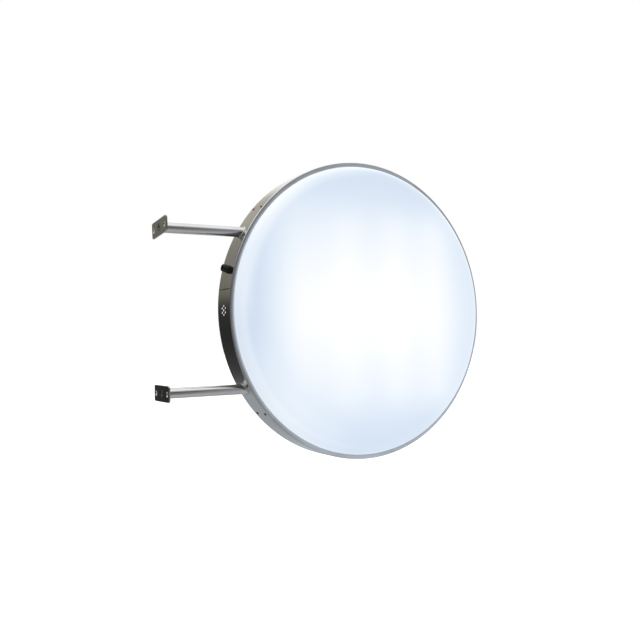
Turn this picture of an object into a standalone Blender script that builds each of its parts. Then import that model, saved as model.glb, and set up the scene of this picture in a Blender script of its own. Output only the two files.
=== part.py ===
"""Double-sided round light-box sign that stands out from a wall on two tube arms.

Metres, +Z up. The origin is on the wall plane, midway between the two wall plates. +X runs out of
the wall towards the drum, the front face looks along -Y and the rear face along +Y.
"""

from math import cos, pi, radians, sin, sqrt, tau

import bmesh
import bpy
from mathutils import Matrix

# Driving dimensions
GAP = 0.0003  # between pieces that touch

DRUM_X = 0.422  # wall plane to the drum's centre
DRUM_RADIUS = 0.300
DRUM_DEPTH = 0.056  # between the outer faces of the two trim rings
BAND_THICK = 0.0015
RING_SIDES = 64

LIP_WIDTH = 0.0092
LIP_THICK = 0.0020
SKIRT_DEPTH = 0.016
SKIRT_THICK = 0.0015
GASKET_THICK = 0.0010
RETAINER_THICK = 0.0025
RETAINER_OVERLAP = 0.006  # how far it reaches in past the lip
BRIM_PLAY = 0.0007

ACRYLIC = 0.003
FACE_RISE = 0.0145  # from the trim ring's face to the start of the crown
SHOULDER_RADIUS = 0.014
CROWN = 0.003

SEAM_ANGLE = 172.5
SEAM_WIDTH = 0.0016
JOINT_PLATE_LENGTH = 0.034
VENT_RADIUS = 0.0020
VENT_PITCH = 0.0082

TRIM_SCREW_ANGLES = {"wall_top": 139, "wall_bottom": 221, "street_bottom": 319, "street_top": 41}
TRIM_SCREW_Y = 0.0165
TRIM_SCREW_RADIUS = 0.0015
TRIM_SCREW_REACH = 0.0095
TRIM_SCREW_HEAD = 0.0026  # radius of the button head
TRIM_SCREW_EDGE = 0.0009  # height of the head's rim
TRIM_SCREW_TOP = 0.0017
TRIM_SCREW_RECESS = 0.0009  # radius of the driver recess

ARM_Z = 0.148
TUBE_RADIUS = 0.0095
TUBE_WALL = 0.0015
TUBE_SIDES = 20
TUBE_OVERRUN = 0.03  # a tube starts this much too long and is cut to the drum's curve
PLUG_LENGTH = 0.026
ARM_BOLT_RADIUS = 0.004
ARM_BOLT_REACH = 0.022  # how far the bolt runs into the arm
ARM_BOLT_FLANGE = 0.0016
ARM_BOLT_HEAD = 0.0062  # radius of the head
ARM_BOLT_TOP = 0.0070
WEDGE_RADIUS = 0.011
WEDGE_OVERRUN = 0.02

PLATE_THICK = 0.003
PLATE_WIDTH = 0.076
PLATE_HEIGHT = 0.029
PLATE_CORNER = 0.004
SLOT_Y = 0.029
SLOT_WIDTH = 0.0086
SLOT_LENGTH = 0.010
PLATE_SWING = {"upper": -5, "lower": 0}  # about the arm, at rest
PLATE_SCREW_RADIUS = 0.003
PLATE_SCREW_HEAD = 0.0058
PLATE_SCREW_SINK = 0.0004  # the head sits this far below the plate's face
PLATE_SCREW_CONE = 0.0032  # depth where the countersunk head ends
PLATE_SCREW_LENGTH = 0.022
PLATE_SCREW_SOCKET = 0.0022
PLATE_SCREW_SOCKET_DEPTH = 0.0026
COUNTERSINK_RADIUS = 0.0076  # of its cutter, where that starts outside the plate
COUNTERSINK_START = -0.001

SPINE_X = -0.247  # outer face of the spine's web, from the drum's centre
SPINE_HALF_LENGTH = 0.162
SPINE_WIDTH = 0.022
SPINE_DEPTH = 0.018
SPINE_WALL = 0.003

RAIL_Z = 0.152  # mouth of each rail
RAIL_HEIGHT = 0.014
RAIL_WIDTH = 0.012
RAIL_WALL = 0.0015
RAIL_RIGHT = 0.246

LED_BAR_X = (-0.137, -0.051, 0.066, 0.168)
LED_CARRIER = (0.018, 0.005, 0.327)
LED_BOARD = (0.014, 0.0012, 0.296)
LED_LENSES = 6
LENS_MARGIN = 0.0015
LENS_HALF_LENGTH = 0.006
LENS_DRAFT = 0.0010
LENS_HEIGHT = 0.0035

DRIVER = (0.040, 0.026, 0.150)
DRIVER_CORNER = 0.003
DRIVER_CAP = 0.004
TRAY_THICK = 0.002
TRAY_HALF_WIDTH = 0.014
TRAY_LOW = -0.09
TRAY_HIGH = 0.13
TERMINAL_BLOCK = (0.016, 0.020, 0.030)
TERMINAL_Z = 0.106
LEAD_RADIUS = 0.0022
MAINS_LEAD_INSET = 0.010  # from the driver's axis, towards its street side
OUTPUT_LEAD_DROP = 0.012  # straight run below the driver before the bend

GLAND_ANGLE = 165.3
GLAND_Y = -0.0044
GLAND_THREAD_RADIUS = 0.0058
GLAND_HEX = 0.0083  # across a corner, from the axis
GLAND_BORE = 0.0045
GLAND_WASHER_RADIUS = 0.0080
GLAND_WASHER_THICK = 0.0010
GLAND_FLANGE_THICK = 0.0025
GLAND_NECK = 0.0060
GLAND_NECK_TOP = 0.0100  # heights are from the band's outside
GLAND_SEAL_FLOOR = 0.0054
GLAND_SEAL_TOP = 0.0110
GLAND_SEAL_WALL = 0.0007  # of the neck, round the seal
GLAND_SEAL_BORE = 0.0040
GLAND_INSIDE = 0.0100  # length of thread inside the band
LOCK_NUT_THICK = 0.0036
DOME_RADIUS = 0.0072
DOME_START = 0.0106
DOME_TOP = 0.0143
DOME_MOUTH = 0.0046
DOME_SHOULDER = 0.0054

CUT_THROUGH = 0.012  # length of a peg that cuts one sheet

INNER_RADIUS = DRUM_RADIUS - BAND_THICK
SKIRT_OUTER = INNER_RADIUS - GAP
SKIRT_INNER = SKIRT_OUTER - SKIRT_THICK
LIP_INNER = DRUM_RADIUS - LIP_WIDTH
LIP_BACK = DRUM_DEPTH / 2 - LIP_THICK
BRIM_RADIUS = SKIRT_INNER - BRIM_PLAY
RETAINER_INNER = LIP_INNER - RETAINER_OVERLAP
BRIM_FRONT = LIP_BACK - GASKET_THICK - 2 * GAP
BRIM_BACK = BRIM_FRONT - ACRYLIC
TRAY_X = SPINE_X + SPINE_DEPTH + GAP
DRIVER_X = TRAY_X + TRAY_THICK + GAP + DRIVER[0] / 2

COLOURS = {
    "polished_steel": ((0.55, 0.55, 0.53), 0.18, 1.0),
    "brushed_steel": ((0.58, 0.58, 0.57), 0.32, 1.0),
    "plate_steel": ((0.30, 0.29, 0.26), 0.42, 1.0),
    "zinc": ((0.50, 0.51, 0.52), 0.38, 1.0),
    "aluminium": ((0.76, 0.77, 0.78), 0.40, 1.0),
    "opal_acrylic": ((0.90, 0.95, 1.00), 0.12, 0.0),
    "black_nylon": ((0.015, 0.015, 0.016), 0.45, 0.0),
    "black_rubber": ((0.03, 0.03, 0.03), 0.80, 0.0),
    "white_board": ((0.86, 0.87, 0.85), 0.45, 0.0),
    "terminal_plastic": ((0.80, 0.78, 0.70), 0.50, 0.0),
    "lead_jacket": ((0.06, 0.06, 0.06), 0.55, 0.0),
}


def clear_scene():
    for obj in list(bpy.data.objects):
        bpy.data.objects.remove(obj, do_unlink=True)


def material(name):
    """The Principled material of this name, made on first use."""
    found = bpy.data.materials.get(name)
    if found:
        return found
    colour, roughness, metallic = COLOURS[name]
    made = bpy.data.materials.new(name)
    made.use_nodes = True
    shader = made.node_tree.nodes["Principled BSDF"]
    shader.inputs["Base Color"].default_value = (*colour, 1.0)
    shader.inputs["Roughness"].default_value = roughness
    shader.inputs["Metallic"].default_value = metallic
    return made


def mesh_of(bm, name, look):
    """A smooth-shaded mesh from a bmesh, with its faces pointing out."""
    bmesh.ops.remove_doubles(bm, verts=bm.verts, dist=1e-6)
    bmesh.ops.recalc_face_normals(bm, faces=bm.faces)
    mesh = bpy.data.meshes.new(name)
    bm.to_mesh(mesh)
    bm.free()
    mesh.shade_smooth()
    mesh.set_sharp_from_angle(angle=radians(30))
    mesh.materials.append(material(look))
    return mesh


def place(name, mesh, parent=None, at=(0, 0, 0), turn=(0, 0, 0)):
    obj = bpy.data.objects.new(name, mesh)
    bpy.context.scene.collection.objects.link(obj)
    obj.parent = parent
    obj.location = at
    obj.rotation_euler = turn
    return obj


def helper(obj):
    """Marks an object as a cutter, which is not a piece of the sign."""
    obj.hide_render = True
    obj.display_type = "WIRE"
    return obj


def boolean(obj, cutter, operation="DIFFERENCE"):
    modifier = obj.modifiers.new(cutter.name, "BOOLEAN")
    modifier.operation = operation
    modifier.object = cutter
    return obj


def spin(bm, profile, sides, closed):
    """Turns a profile of (radius, height) points about Z. A closed one makes a ring."""
    verts = [bm.verts.new((r, 0, h)) for r, h in profile]
    pairs = list(zip(verts, verts[1:]))
    if closed:
        pairs.append((verts[-1], verts[0]))
    edges = [bm.edges.new(pair) for pair in pairs]
    bmesh.ops.spin(
        bm,
        geom=verts + edges,
        cent=(0, 0, 0),
        axis=(0, 0, 1),
        dvec=(0, 0, 0),
        angle=tau,
        steps=sides,
        use_merge=True,
    )


def ring_mesh(name, profile, look, sides=RING_SIDES):
    bm = bmesh.new()
    spin(bm, profile, sides, closed=True)
    return mesh_of(bm, name, look)


def solid_mesh(name, profile, look, sides=RING_SIDES):
    """Turned solid. The profile starts and ends on the axis."""
    bm = bmesh.new()
    spin(bm, profile, sides, closed=False)
    return mesh_of(bm, name, look)


def tube_mesh(name, inner, outer, low, high, look, sides=TUBE_SIDES):
    return ring_mesh(name, [(inner, low), (outer, low), (outer, high), (inner, high)], look, sides)


def rod_mesh(name, radius, low, high, look, sides=TUBE_SIDES):
    return solid_mesh(name, [(0, low), (radius, low), (radius, high), (0, high)], look, sides)


def add_prism(bm, outline, low, high):
    """Extrudes a closed outline of (x, y) points from low to high along Z."""
    face = bm.faces.new([bm.verts.new((x, y, low)) for x, y in outline])
    extruded = bmesh.ops.extrude_face_region(bm, geom=[face])["geom"]
    raised = [v for v in extruded if isinstance(v, bmesh.types.BMVert)]
    bmesh.ops.translate(bm, verts=raised, vec=(0, 0, high - low))


def prism_mesh(name, outline, low, high, look):
    bm = bmesh.new()
    add_prism(bm, outline, low, high)
    return mesh_of(bm, name, look)


def arc(cx, cy, radius, start, end, steps):
    """Points on an arc, angles in degrees, both ends included."""
    turns = [radians(start + (end - start) * i / steps) for i in range(steps + 1)]
    return [(cx + radius * cos(t), cy + radius * sin(t)) for t in turns]


def rounded_rectangle(width, height, corner, steps=4):
    x = width / 2 - corner
    y = height / 2 - corner
    quarters = ((x, y, 0), (-x, y, 90), (-x, -y, 180), (x, -y, 270))
    return [point for cx, cy, a in quarters for point in arc(cx, cy, corner, a, a + 90, steps)]


def polygon(radius, sides):
    return [(radius * cos(tau * i / sides), radius * sin(tau * i / sides)) for i in range(sides)]


def add_peg(bm, place_at, radius, length, sides=16):
    """A round cutter centred on place_at, along that matrix's Z."""
    bmesh.ops.create_cone(
        bm,
        cap_ends=True,
        segments=sides,
        radius1=radius,
        radius2=radius,
        depth=length,
        matrix=place_at,
    )


def radial_place(angle, y=0.0, radius=DRUM_RADIUS):
    """Matrix at a point of the drum's outside, with Z pointing out of the drum."""
    a = radians(angle)
    return Matrix.Translation((radius * cos(a), y, radius * sin(a))) @ Matrix.Rotation(pi / 2 - a, 4, "Y")


def along_x(x, y, z):
    return Matrix.Translation((x, y, z)) @ Matrix.Rotation(pi / 2, 4, "Y")


def vent_offsets():
    """The seven vents: one in the middle of a hexagon, as (y, z)."""
    ring = [(VENT_PITCH * sin(tau * i / 6), VENT_PITCH * cos(tau * i / 6)) for i in range(6)]
    return [(0.0, 0.0), *ring]


def add_screw_pegs(bm):
    """Cutters for the clearance holes of every trim screw."""
    for angle in TRIM_SCREW_ANGLES.values():
        for y in (-TRIM_SCREW_Y, TRIM_SCREW_Y):
            add_peg(bm, radial_place(angle, y), TRIM_SCREW_RADIUS + GAP, CUT_THROUGH, 12)


def band_cutter(drum):
    """Every hole in the band, and the narrow gap where the rolled strip meets itself."""
    bm = bmesh.new()
    for y, z in vent_offsets():
        add_peg(bm, along_x(-DRUM_RADIUS, y, z), VENT_RADIUS, CUT_THROUGH)
    add_screw_pegs(bm)
    gland = radial_place(GLAND_ANGLE, GLAND_Y)
    add_peg(bm, gland, GLAND_THREAD_RADIUS + GAP, CUT_THROUGH, TUBE_SIDES)
    for z in (-ARM_Z, ARM_Z):
        shell_x = -sqrt(DRUM_RADIUS**2 - z**2)
        add_peg(bm, along_x(shell_x, 0, z), ARM_BOLT_RADIUS + GAP, 2 * CUT_THROUGH)
    slit = Matrix.Diagonal((SEAM_WIDTH, DRUM_DEPTH * 2, CUT_THROUGH, 1))
    bmesh.ops.create_cube(bm, size=1, matrix=radial_place(SEAM_ANGLE) @ slit)
    return helper(place("band_cutter", mesh_of(bm, "band_cutter", "zinc"), drum))


def make_band(drum):
    edge = LIP_BACK - GAP
    strip = tube_mesh("body_band", INNER_RADIUS, DRUM_RADIUS, -edge, edge, "polished_steel", RING_SIDES)
    band = place("body_band", strip, drum, turn=(pi / 2, 0, 0))
    boolean(band, band_cutter(drum))

    half = DRUM_DEPTH / 2 - SKIRT_DEPTH - 2 * GAP
    hoop = tube_mesh("band_joint_plate", SKIRT_INNER, SKIRT_OUTER, -half, half, "zinc", RING_SIDES)
    joint = place("band_joint_plate", hoop, drum, turn=(pi / 2, 0, 0))
    bm = bmesh.new()
    window = Matrix.Diagonal((JOINT_PLATE_LENGTH, DRUM_DEPTH, 3 * CUT_THROUGH, 1))
    bmesh.ops.create_cube(bm, size=1, matrix=radial_place(SEAM_ANGLE) @ window)
    keep = helper(place("joint_window", mesh_of(bm, "joint_window", "zinc"), drum))
    boolean(joint, keep, "INTERSECT")


def trim_profile():
    """Angle section: a lip over the face's brim and a skirt inside the band."""
    front = DRUM_DEPTH / 2
    return [
        (LIP_INNER, LIP_BACK),
        (SKIRT_INNER, LIP_BACK),
        (SKIRT_INNER, front - SKIRT_DEPTH),
        (SKIRT_OUTER, front - SKIRT_DEPTH),
        (SKIRT_OUTER, LIP_BACK),
        (DRUM_RADIUS, LIP_BACK),
        (DRUM_RADIUS, front),
        (LIP_INNER, front),
    ]


def face_profile():
    """Vacuum-formed face: crown, rounded shoulder, wall and flat brim, the same thickness all over."""
    wall = LIP_INNER - GAP
    bend = wall - SHOULDER_RADIUS
    level = DRUM_DEPTH / 2 + FACE_RISE - SHOULDER_RADIUS
    top = level + SHOULDER_RADIUS
    inner_top = top - ACRYLIC
    outer = [(0, top + CROWN), *arc(bend, level, SHOULDER_RADIUS, 90, 0, 4)]
    brim = [(wall, BRIM_FRONT), (BRIM_RADIUS, BRIM_FRONT)]
    brim += [(BRIM_RADIUS, BRIM_BACK), (wall - ACRYLIC, BRIM_BACK)]
    inner = arc(bend, level, SHOULDER_RADIUS - ACRYLIC, 0, 90, 2)
    return outer + brim + inner + [(0, inner_top + CROWN)]


def make_faces(drum):
    """Trim ring, gasket, acrylic face and retaining ring, once for each side."""
    trim = ring_mesh("trim_ring", trim_profile(), "brushed_steel")
    face = solid_mesh("face", face_profile(), "opal_acrylic")
    low, high = BRIM_FRONT + GAP, LIP_BACK - GAP
    gasket = tube_mesh("gasket", LIP_INNER + GAP, BRIM_RADIUS, low, high, "black_rubber", RING_SIDES)
    back = BRIM_BACK - GAP
    front = back - RETAINER_THICK
    retainer = tube_mesh("retainer", RETAINER_INNER, BRIM_RADIUS, front, back, "aluminium", RING_SIDES)
    for side, turn in (("front", pi / 2), ("rear", -pi / 2)):
        bm = bmesh.new()
        add_screw_pegs(bm)
        holes = helper(place(f"{side}_screw_holes", mesh_of(bm, "screw_holes", "zinc"), drum))
        boolean(place(f"{side}_trim_ring", trim, drum, turn=(turn, 0, 0)), holes)
        place(f"{side}_face", face, drum, turn=(turn, 0, 0))
        place(f"{side}_gasket", gasket, drum, turn=(turn, 0, 0))
        place(f"{side}_retaining_ring", retainer, drum, turn=(turn, 0, 0))


def make_trim_screws(drum):
    """Small button-head screws through the band and each trim ring's skirt."""
    shank = [(0, -TRIM_SCREW_REACH), (TRIM_SCREW_RADIUS, -TRIM_SCREW_REACH), (TRIM_SCREW_RADIUS, GAP)]
    crown = (0.7 * TRIM_SCREW_HEAD, TRIM_SCREW_TOP - GAP / 2)
    head = [(TRIM_SCREW_HEAD, GAP), (TRIM_SCREW_HEAD, TRIM_SCREW_EDGE), crown]
    recess = [(TRIM_SCREW_RECESS, TRIM_SCREW_TOP), (TRIM_SCREW_RECESS, TRIM_SCREW_EDGE)]
    profile = [*shank, *head, *recess, (0, TRIM_SCREW_EDGE)]
    mesh = solid_mesh("trim_screw", profile, "zinc", 12)
    for corner, angle in TRIM_SCREW_ANGLES.items():
        for side, y in (("front", -TRIM_SCREW_Y), ("rear", TRIM_SCREW_Y)):
            where = radial_place(angle, y)
            place(f"trim_screw_{side}_{corner}", mesh, drum, where.translation, where.to_euler())


def drum_plug(name, radius, drum):
    """Solid the shape of the drum, for cutting what butts against it. It lies along Y."""
    mesh = rod_mesh(name, radius, -DRUM_DEPTH, DRUM_DEPTH, "zinc", RING_SIDES)
    return helper(place(name, mesh, drum, turn=(pi / 2, 0, 0)))


def plate_cutter(arm, name, swing):
    """Two slots and the countersunk hole of a wall plate."""
    bm = bmesh.new()
    radius = SLOT_WIDTH / 2
    straight = SLOT_LENGTH / 2 - radius
    for y in (-SLOT_Y, SLOT_Y):
        outline = arc(straight, y, radius, -90, 90, 6) + arc(-straight, y, radius, 90, 270, 6)
        add_prism(bm, outline, -PLATE_THICK, 2 * PLATE_THICK)
    hole = PLATE_SCREW_RADIUS + GAP
    far = 2 * PLATE_THICK
    cone = [(0, COUNTERSINK_START), (COUNTERSINK_RADIUS, COUNTERSINK_START)]
    cone += [(hole, PLATE_SCREW_CONE), (hole, far), (0, far)]
    spin(bm, cone, TUBE_SIDES, closed=False)
    return helper(place(name, mesh_of(bm, name, "zinc"), arm, turn=swing))


def make_arm(label, z, band_solid, inside_solid):
    """One arm: wall plate and its screw, tube with two threaded plugs, wedge and bolt, all on one axis."""
    arm = place(f"{label}_arm_axis", None, at=(0, 0, z), turn=(0, pi / 2, 0))
    shell_x = DRUM_X - sqrt(DRUM_RADIUS**2 - z**2)
    web_x = DRUM_X + SPINE_X
    bore = TUBE_RADIUS - TUBE_WALL

    outline = rounded_rectangle(PLATE_HEIGHT, PLATE_WIDTH, PLATE_CORNER)
    blank = prism_mesh("wall_plate", outline, 0, PLATE_THICK, "plate_steel")
    swing = (0, 0, radians(PLATE_SWING[label]))
    plate = place(f"{label}_wall_plate", blank, arm, turn=swing)
    boolean(plate, plate_cutter(arm, f"{label}_plate_cutter", swing))

    tube_start = PLATE_THICK + GAP
    overrun = shell_x + TUBE_OVERRUN
    tube = tube_mesh("arm_tube", bore, TUBE_RADIUS, tube_start, overrun, "brushed_steel")
    boolean(place(f"{label}_arm_tube", tube, arm), band_solid)

    plug_start = tube_start + GAP
    plug_end = tube_start + PLUG_LENGTH
    wall_plug = tube_mesh("wall_plug", PLATE_SCREW_RADIUS + GAP, bore - GAP, plug_start, plug_end, "zinc")
    place(f"{label}_wall_plug", wall_plug, arm)
    bolt_hole = ARM_BOLT_RADIUS + GAP
    drum_end = tube_mesh("drum_plug", bolt_hole, bore - GAP, shell_x - PLUG_LENGTH, overrun, "zinc")
    boolean(place(f"{label}_drum_plug", drum_end, arm), band_solid)
    wedge_start = shell_x - WEDGE_OVERRUN
    wedge = tube_mesh("arm_wedge", bolt_hole, WEDGE_RADIUS, wedge_start, web_x - GAP, "aluminium")
    boolean(place(f"{label}_arm_wedge", wedge, arm), inside_solid, "INTERSECT")

    place(f"{label}_plate_screw", plate_screw_mesh(), arm)
    bolt = arm_bolt_mesh(shell_x - ARM_BOLT_REACH, web_x + SPINE_WALL + GAP)
    place(f"{label}_arm_bolt", bolt, arm)


def plate_screw_mesh():
    """Countersunk socket screw. Its head is at the wall and its point runs out into the arm."""
    socket = [(0, PLATE_SCREW_SOCKET_DEPTH), (PLATE_SCREW_SOCKET, PLATE_SCREW_SOCKET_DEPTH)]
    head = [(PLATE_SCREW_SOCKET, PLATE_SCREW_SINK), (PLATE_SCREW_HEAD, PLATE_SCREW_SINK)]
    shank = [(PLATE_SCREW_RADIUS, PLATE_SCREW_CONE), (PLATE_SCREW_RADIUS, PLATE_SCREW_LENGTH)]
    return solid_mesh("plate_screw", [*socket, *head, *shank, (0, PLATE_SCREW_LENGTH)], "zinc", 18)


def arm_bolt_mesh(end, seat):
    """Flange bolt. Its flange sits on the spine's web at seat, and its thread runs back to end."""
    flange = SPINE_WIDTH / 2 - SPINE_WALL - 2 * GAP
    top = seat + ARM_BOLT_TOP
    shank = [(0, end), (ARM_BOLT_RADIUS, end), (ARM_BOLT_RADIUS, seat)]
    slope = seat + ARM_BOLT_FLANGE
    flange_rim = [(flange, seat), (flange, slope), (ARM_BOLT_HEAD, slope + 2 * GAP)]
    return solid_mesh("arm_bolt", [*shank, *flange_rim, (ARM_BOLT_HEAD, top), (0, top)], "zinc", 12)


def make_spine(drum):
    """Vertical channel inside the drum that ties the two arm bolts together."""
    half = SPINE_WIDTH / 2
    inside = half - SPINE_WALL
    back = SPINE_X + SPINE_DEPTH
    web = SPINE_X + SPINE_WALL
    outline = [(SPINE_X, -half), (back, -half), (back, -inside), (web, -inside)]
    outline += [(x, -y) for x, y in reversed(outline)]
    channel = prism_mesh("arm_spine", outline, -SPINE_HALF_LENGTH, SPINE_HALF_LENGTH, "zinc")
    spine = place("arm_spine", channel, drum)
    bm = bmesh.new()
    for z in (-ARM_Z, ARM_Z):
        add_peg(bm, along_x(SPINE_X, 0, z), ARM_BOLT_RADIUS + GAP, CUT_THROUGH)
    boolean(spine, helper(place("spine_holes", mesh_of(bm, "spine_holes", "zinc"), drum)))


def make_led_frame(drum):
    """Two channel rails across the drum, and four bars with lit boards on both sides."""
    half = RAIL_WIDTH / 2
    inside = half - RAIL_WALL
    # The rail's section is drawn as (height, y) and its local Z runs along +X.
    roof = RAIL_Z + RAIL_HEIGHT
    section = [(RAIL_Z, -half), (roof, -half), (roof, half), (RAIL_Z, half)]
    ceiling = roof - RAIL_WALL
    section += [(RAIL_Z, inside), (ceiling, inside), (ceiling, -inside), (RAIL_Z, -inside)]
    rail = prism_mesh("led_rail", section, TRAY_X, RAIL_RIGHT, "aluminium")
    for label, turn in (("lower", (0, pi / 2, 0)), ("upper", (pi, -pi / 2, 0))):
        place(f"{label}_led_rail", rail, drum, turn=turn)

    width, thick, length = LED_CARRIER
    outline = rounded_rectangle(width, thick, thick / 5, 2)
    carrier = prism_mesh("led_carrier", outline, -length / 2, length / 2, "aluminium")
    board = led_board_mesh()
    for number, x in enumerate(LED_BAR_X, start=1):
        place(f"led_carrier_{number}", carrier, drum, (x, 0, 0))
        for side, turn in (("front", 0), ("rear", pi)):
            place(f"led_board_{side}_{number}", board, drum, (x, 0, 0), (0, 0, turn))


def led_board_mesh():
    """Circuit board with a row of lens blocks, on the -Y side of a carrier."""
    width, thick, length = LED_BOARD
    back = -LED_CARRIER[1] / 2 - GAP
    cell = length / LED_LENSES
    side = width / 2
    corners = ((-side, back), (side, back), (side, back - thick), (-side, back - thick))
    bm = bmesh.new()
    columns = []
    for i in range(LED_LENSES + 1):
        z = -length / 2 + i * cell
        columns.append([bm.verts.new((x, y, z)) for x, y in corners])
    tops = []
    for low, high in zip(columns, columns[1:]):
        for k in range(4):
            face = bm.faces.new((low[k], low[(k + 1) % 4], high[(k + 1) % 4], high[k]))
            if k == 2:
                tops.append(face)
    bm.faces.new(columns[0])
    bm.faces.new(columns[-1])
    bmesh.ops.recalc_face_normals(bm, faces=bm.faces)
    bmesh.ops.inset_individual(bm, faces=tops, thickness=LENS_MARGIN)
    for face in tops:
        middle = face.calc_center_median().z
        for vert in face.verts:
            vert.co.z = middle + (LENS_HALF_LENGTH if vert.co.z > middle else -LENS_HALF_LENGTH)
    bmesh.ops.inset_individual(bm, faces=tops, thickness=LENS_DRAFT, depth=LENS_HEIGHT)
    return mesh_of(bm, "led_board", "white_board")


def make_driver(drum):
    """Power supply and terminal block on a tray on the spine's back, with their leads."""
    width, depth, length = DRIVER
    strip = [(0, -TRAY_HALF_WIDTH), (TRAY_THICK, -TRAY_HALF_WIDTH)]
    strip += [(x, -y) for x, y in reversed(strip)]
    tray = prism_mesh("driver_tray", strip, TRAY_LOW, TRAY_HIGH, "aluminium")
    place("driver_tray", tray, drum, (TRAY_X, 0, 0))
    outline = rounded_rectangle(width, depth, DRIVER_CORNER, 3)
    case = prism_mesh("driver_case", outline, -length / 2, length / 2, "aluminium")
    place("driver_case", case, drum, (DRIVER_X, 0, 0))
    cap_end = length / 2 + GAP
    cap = prism_mesh("driver_cap", outline, 0, DRIVER_CAP, "black_nylon")
    place("driver_cap", cap, drum, (DRIVER_X, 0, cap_end))

    block_width, block_depth, block_length = TERMINAL_BLOCK
    block_x = TRAY_X + TRAY_THICK + GAP
    outline = rounded_rectangle(block_width, block_depth, DRIVER_CORNER / 2, 2)
    half = block_length / 2
    block = prism_mesh("terminal_block", outline, -half, half, "terminal_plastic")
    place("terminal_block", block, drum, (block_x + block_width / 2, 0, TERMINAL_Z))

    start = block_x + block_width + GAP
    drop = DRIVER_X + MAINS_LEAD_INSET
    cap_top = cap_end + DRIVER_CAP + GAP
    reach = drop - start
    bend = arc(start, TERMINAL_Z - reach, reach, 90, 0, 6)
    halfway = (TERMINAL_Z - reach + cap_top) / 2
    make_lead("mains_lead", [*bend, (drop, halfway), (drop, cap_top)], drum)

    foot = -length / 2 - GAP
    end_x = LED_BAR_X[0] - LED_CARRIER[0] / 2 - GAP
    radius = (end_x - DRIVER_X) / 2
    low = foot - OUTPUT_LEAD_DROP
    turn = arc(DRIVER_X + radius, low, radius, 180, 270, 6)
    make_lead("output_lead", [(DRIVER_X, foot), *turn, (end_x, low - radius)], drum)


def make_lead(name, route, drum):
    """Round lead along a smooth route of (x, z) points in the drum's middle plane."""
    curve = bpy.data.curves.new(name, "CURVE")
    curve.dimensions = "3D"
    curve.bevel_depth = LEAD_RADIUS
    curve.bevel_resolution = 2
    curve.use_fill_caps = True
    curve.materials.append(material("lead_jacket"))
    spline = curve.splines.new("POLY")
    spline.points.add(len(route) - 1)
    for point, (x, z) in zip(spline.points, route):
        point.co = (x, 0, z, 1)
    place(name, curve, drum)


def make_gland(drum):
    """Cable gland through the band. Heights run out of the drum from the band's outside."""
    a = radians(GLAND_ANGLE)
    spot = (DRUM_RADIUS * cos(a), GLAND_Y, DRUM_RADIUS * sin(a))
    axis = place("gland_axis", None, drum, spot, (0, pi / 2 - a, 0))
    thread_hole = GLAND_THREAD_RADIUS + GAP
    rim = GLAND_WASHER_RADIUS
    washer = tube_mesh("gland_washer", thread_hole, rim, 0, GLAND_WASHER_THICK, "black_rubber")
    place("gland_washer", washer, axis)

    flange_foot = GLAND_WASHER_THICK + GAP
    flange_top = flange_foot + GLAND_FLANGE_THICK
    collet = GLAND_NECK - GLAND_SEAL_WALL
    hexagon = prism_mesh("gland_hex", polygon(GLAND_HEX, 6), flange_foot, flange_top, "black_nylon")
    body = place("gland_body", hexagon, axis)
    step = flange_top - GLAND_WASHER_THICK
    stem = [(0, -GLAND_INSIDE), (GLAND_THREAD_RADIUS, -GLAND_INSIDE), (GLAND_THREAD_RADIUS, step)]
    stem += [(GLAND_NECK, step), (GLAND_NECK, GLAND_NECK_TOP), (0, GLAND_NECK_TOP)]
    stem_mesh = solid_mesh("gland_stem", stem, "black_nylon", TUBE_SIDES)
    boolean(body, helper(place("gland_stem", stem_mesh, axis)), "UNION")
    low, high = -2 * GLAND_INSIDE, 2 * GLAND_NECK_TOP
    bore = [(0, low), (GLAND_BORE, low), (GLAND_BORE, GLAND_SEAL_FLOOR)]
    bore += [(collet, GLAND_SEAL_FLOOR), (collet, high), (0, high)]
    bore_mesh = solid_mesh("gland_bore", bore, "black_nylon", TUBE_SIDES)
    boolean(body, helper(place("gland_bore", bore_mesh, axis)))

    wall = INNER_RADIUS * cos(pi / RING_SIDES) - DRUM_RADIUS - GAP
    nut_end = wall - LOCK_NUT_THICK
    nut = prism_mesh("gland_lock_nut", polygon(GLAND_HEX, 6), nut_end, wall, "black_nylon")
    lock_nut = place("gland_lock_nut", nut, axis)
    hole = rod_mesh("lock_nut_hole", thread_hole, -2 * GLAND_INSIDE, GLAND_INSIDE, "black_nylon")
    boolean(lock_nut, helper(place("lock_nut_hole", hole, axis)))

    seal_foot = GLAND_SEAL_FLOOR + GAP
    seal_top = GLAND_SEAL_TOP
    seal = tube_mesh("gland_seal", GLAND_SEAL_BORE, collet - GAP, seal_foot, seal_top, "black_rubber")
    place("gland_seal", seal, axis)

    skirt = GLAND_NECK + GAP
    nut_foot = flange_top + GAP
    shelf = GLAND_SEAL_TOP + GAP
    wide = DOME_RADIUS - DOME_SHOULDER
    high = DOME_TOP - DOME_START
    dome = [(skirt, nut_foot), (DOME_RADIUS, nut_foot), (DOME_RADIUS, DOME_START)]
    turns = (pi / 6, pi / 3, pi / 2)
    dome += [(DOME_SHOULDER + wide * cos(t), DOME_START + high * sin(t)) for t in turns]
    dome += [(DOME_MOUTH, DOME_TOP), (DOME_MOUTH, shelf), (skirt, shelf)]
    place("gland_dome_nut", ring_mesh("gland_dome_nut", dome, "black_nylon", TUBE_SIDES), axis)


def make_sign():
    clear_scene()
    drum = place("drum_axis", None, at=(DRUM_X, 0, 0))
    make_band(drum)
    make_faces(drum)
    make_trim_screws(drum)
    band_solid = drum_plug("band_outside", DRUM_RADIUS + GAP, drum)
    inside_solid = drum_plug("band_inside", INNER_RADIUS - GAP, drum)
    make_arm("upper", ARM_Z, band_solid, inside_solid)
    make_arm("lower", -ARM_Z, band_solid, inside_solid)
    make_spine(drum)
    make_led_frame(drum)
    make_driver(drum)
    make_gland(drum)


make_sign()
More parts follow.
